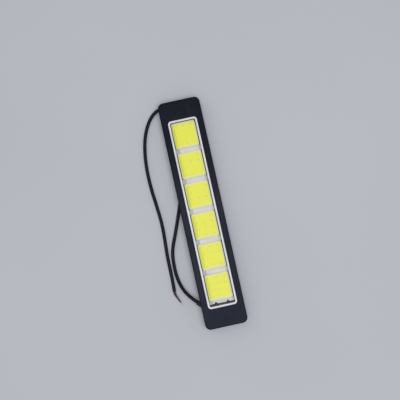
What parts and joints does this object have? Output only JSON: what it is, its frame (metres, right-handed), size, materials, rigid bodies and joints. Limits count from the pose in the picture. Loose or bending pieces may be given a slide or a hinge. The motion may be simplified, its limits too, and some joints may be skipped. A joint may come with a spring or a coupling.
{
  "type": "daytime running light",
  "caption": "Slim rectangular vehicle daytime running light: flat yellow emitters behind a white-ringed window in a black body, with plain end tabs, stick-on pads and a thin power cord.",
  "frame": {"origin": "centre of the lamp's footprint, on the surface that its foam pads stick to", "axes": "+Y along the lamp, away from the end where the cord leaves; +X across it; +Z the way the light goes"},
  "size_m": [0.0505, 0.17, 0.0095],
  "materials": {
    "black_plastic": "fine matte grain",
    "white_plastic": "satin moulded",
    "white_board": "white solder mask on aluminium",
    "emitter_gel": "satin yellow silicone",
    "solder": "bright tin",
    "red_insulation": "smooth",
    "black_insulation": "smooth",
    "black_sealant": "cured silicone",
    "thermal_sheet": "soft matte",
    "bare_aluminium": "rolled sheet",
    "black_rubber": "matte",
    "steel": "zinc plated",
    "cord_sheath": "smooth soft vinyl",
    "tinned_wire": "tinned copper",
    "grey_foam": "closed-cell foam",
    "release_film": "thin film"
  },
  "bodies": {
    "root": {"housing": "black_plastic", "bezel_ring": "white_plastic", "led_board": "white_board", "emitter_1": "emitter_gel", "emitter_2": "emitter_gel", "emitter_3": "emitter_gel", "emitter_4": "emitter_gel", "emitter_5": "emitter_gel", "emitter_6": "emitter_gel", "solder_joints": "solder", "inner_lead_red": "red_insulation", "inner_lead_black": "black_insulation", "lead_sealant": "black_sealant", "thermal_pad": "thermal_sheet", "back_plate": "bare_aluminium", "back_seal": "black_rubber", "plate_screws": "steel", "cable_grommet": "black_rubber", "cable": "cord_sheath", "core_red": "red_insulation", "core_black": "black_insulation", "wire_ends": "tinned_wire", "foam_pad_1": "grey_foam", "foam_pad_2": "grey_foam", "foam_pad_3": "grey_foam", "foam_pad_4": "grey_foam", "pad_liner_1": "release_film", "pad_liner_2": "release_film", "pad_liner_3": "release_film", "pad_liner_4": "release_film"}
  },
  "joints": []
}
